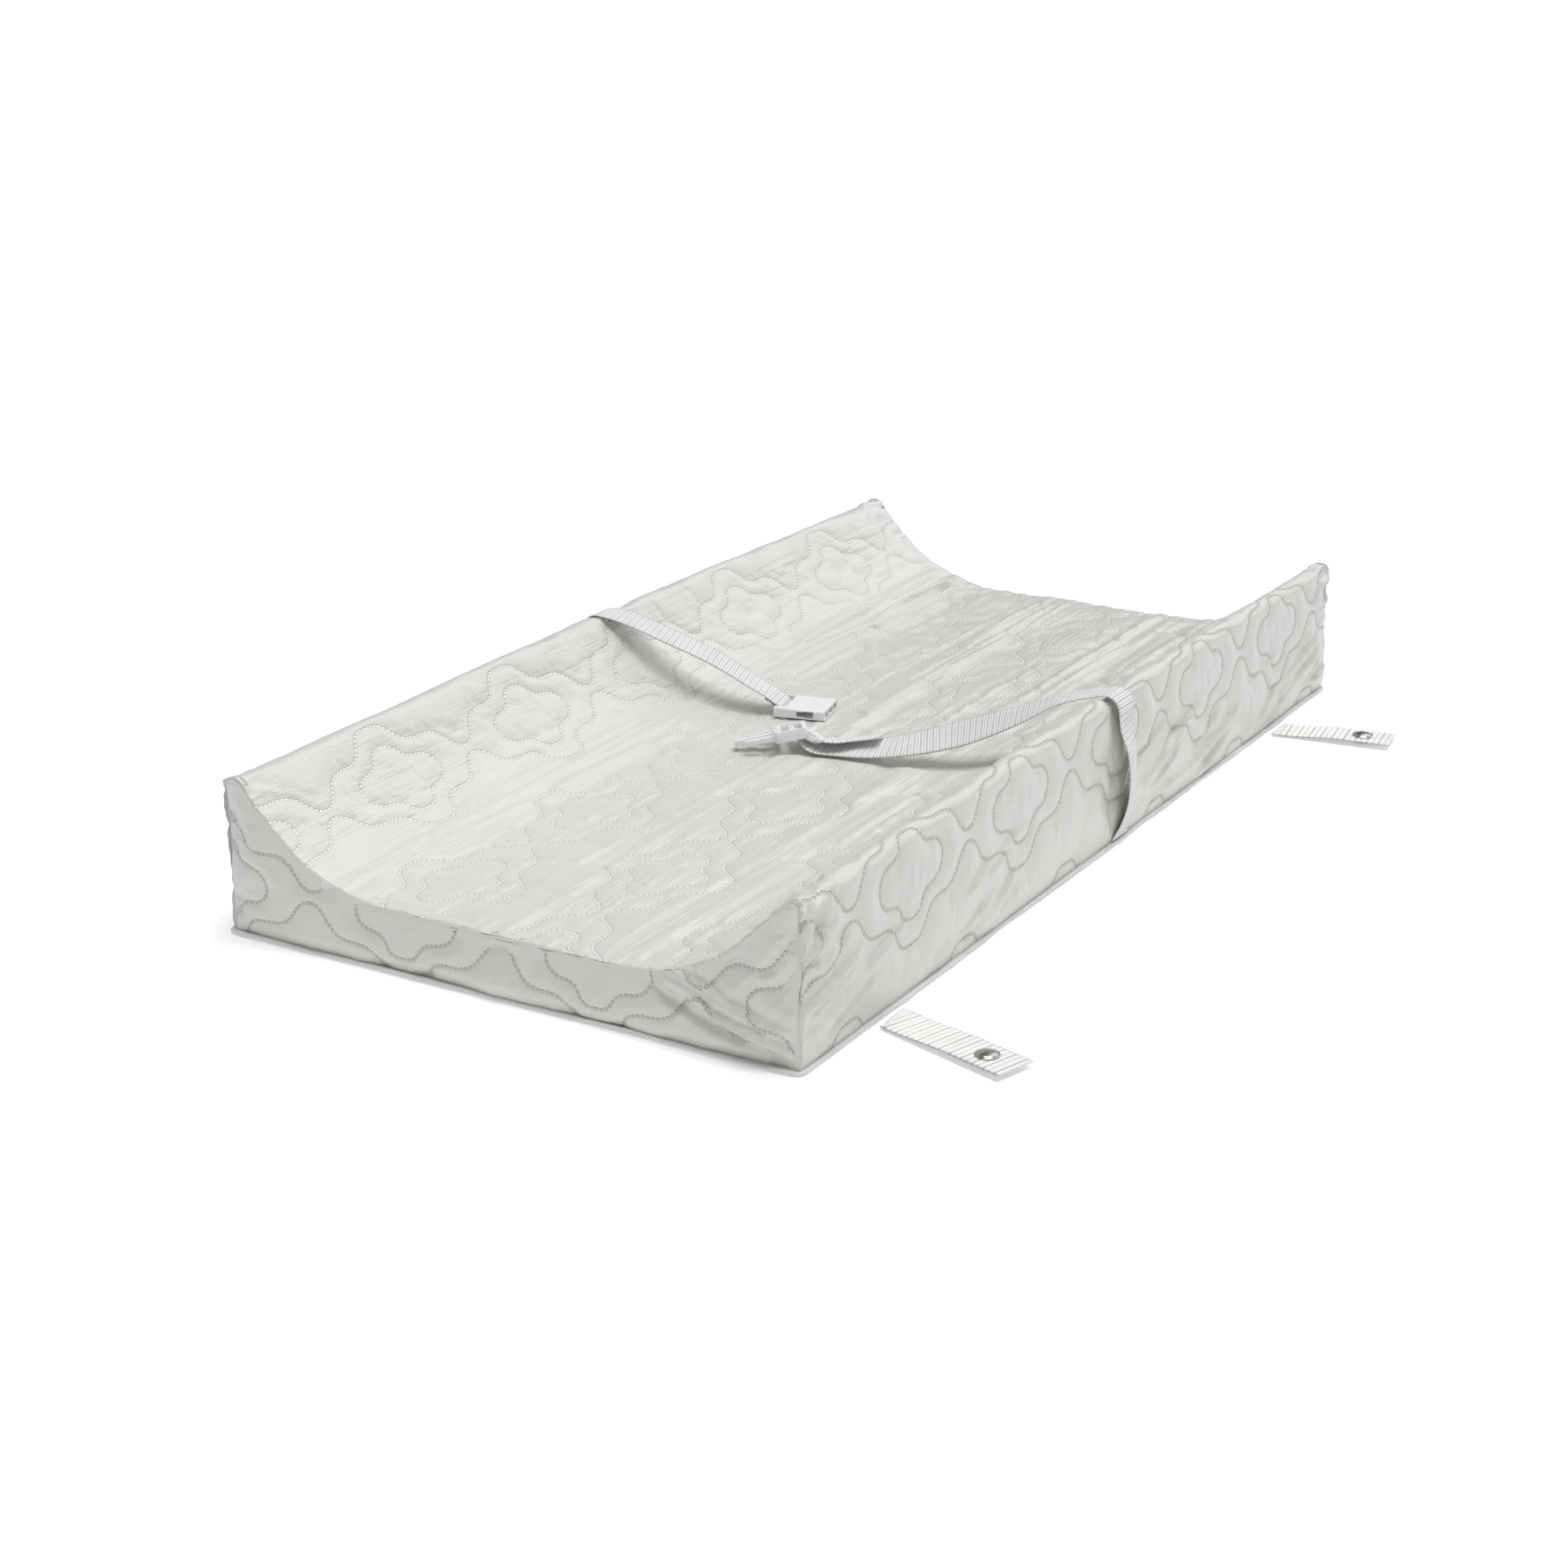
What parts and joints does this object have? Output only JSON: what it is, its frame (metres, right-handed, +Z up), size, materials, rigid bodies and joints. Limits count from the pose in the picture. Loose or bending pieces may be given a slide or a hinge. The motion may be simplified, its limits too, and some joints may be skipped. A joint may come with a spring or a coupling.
{
  "type": "contoured changing pad",
  "caption": "Contoured baby changing pad: dished foam block in a quilted wipe-clean cover, with a webbing safety belt, side-release buckle and snap anchor tabs.",
  "frame": {"origin": "centre of the pad's underside", "axes": "+X along the pad to its head end, -Y towards the long side with the anchor tabs, +Z up"},
  "size_m": [0.83, 0.5214, 0.1054],
  "materials": {
    "white_quilted_vinyl": "satin",
    "white_plain_vinyl": "satin",
    "foam": "matte",
    "white_webbing": "matte",
    "white_moulded_plastic": "satin",
    "nickel_plate": "polished",
    "spring_steel": "satin"
  },
  "bodies": {
    "pad": {"foam_core": "foam", "quilted_cover": "white_quilted_vinyl", "end_panel_foot": "white_quilted_vinyl", "end_panel_head": "white_quilted_vinyl", "base_panel": "white_plain_vinyl", "base_seam": "white_plain_vinyl", "anchor_strap_foot_sewn_end": "white_webbing", "anchor_strap_head_sewn_end": "white_webbing"},
    "near_strap": {"near_strap_outer": "white_webbing"},
    "near_lap": {"near_strap_lap": "white_webbing", "near_strap_adjuster_loop": "white_webbing", "near_strap_tail": "white_webbing"},
    "plug": {"buckle_plug": "white_moulded_plastic"},
    "arm_left": {"plug_arm_left": "white_moulded_plastic"},
    "arm_right": {"plug_arm_right": "white_moulded_plastic"},
    "far_strap": {"far_strap_outer": "white_webbing"},
    "far_lap": {"far_strap_lap": "white_webbing", "far_strap_bar_loop": "white_webbing"},
    "socket": {"buckle_socket": "white_moulded_plastic"},
    "anchor_tab_foot": {"anchor_strap_foot": "white_webbing", "snap_cap_foot": "nickel_plate", "snap_socket_foot": "nickel_plate", "snap_spring_foot": "spring_steel"},
    "anchor_tab_head": {"anchor_strap_head": "white_webbing", "snap_cap_head": "nickel_plate", "snap_socket_head": "nickel_plate", "snap_spring_head": "spring_steel"}
  },
  "joints": [
    {"name": "near_strap_root", "type": "hinge", "parent": "pad", "child": "near_strap", "pos_m": [0.02, -0.2033, 0.0036], "axis": [1, 0, 0], "range_deg": [0, 65]},
    {"name": "near_ridge_fold", "type": "hinge", "parent": "near_strap", "child": "near_lap", "pos_m": [0.015, -0.196, 0.1047], "axis": [1, 0, 0], "range_deg": [0, 110]},
    {"name": "plug_tilt", "type": "hinge", "parent": "near_lap", "child": "plug", "pos_m": [-0.0298, 0.0226, 0.0521], "axis": [0.8196, 0.5475, -0.1689], "range_deg": [0, 9]},
    {"name": "plug_arm_left_squeeze", "type": "hinge", "parent": "plug", "child": "arm_left", "pos_m": [-0.0454, 0.02594, 0.05178], "axis": [-0.0333, -0.2488, -0.968], "range_deg": [0, 7], "stiffness_Nm_per_rad": 0.2},
    {"name": "plug_arm_right_squeeze", "type": "hinge", "parent": "plug", "child": "arm_right", "pos_m": [-0.02753, 0.03788, 0.0481], "axis": [0.0333, 0.2488, 0.968], "range_deg": [0, 7], "stiffness_Nm_per_rad": 0.2},
    {"name": "far_strap_root", "type": "hinge", "parent": "pad", "child": "far_strap", "pos_m": [0.002, 0.2033, 0.0036], "axis": [-1, 0, 0], "range_deg": [0, 65]},
    {"name": "far_ridge_fold", "type": "hinge", "parent": "far_strap", "child": "far_lap", "pos_m": [0, 0.196, 0.1047], "axis": [-1, 0, 0], "range_deg": [0, 110]},
    {"name": "socket_tilt", "type": "hinge", "parent": "far_lap", "child": "socket", "pos_m": [0.0376, 0.0694, 0.0444], "axis": [-0.9744, -0.225, 0], "range_deg": [0, 60]},
    {"name": "anchor_tab_foot_fold", "type": "hinge", "parent": "pad", "child": "anchor_tab_foot", "pos_m": [-0.315, -0.2115, 0.0013], "axis": [-1, 0, 0], "range_deg": [-75, 90]},
    {"name": "anchor_tab_head_fold", "type": "hinge", "parent": "pad", "child": "anchor_tab_head", "pos_m": [0.293, -0.2115, 0.0013], "axis": [-1, 0, 0], "range_deg": [-75, 90]}
  ]
}
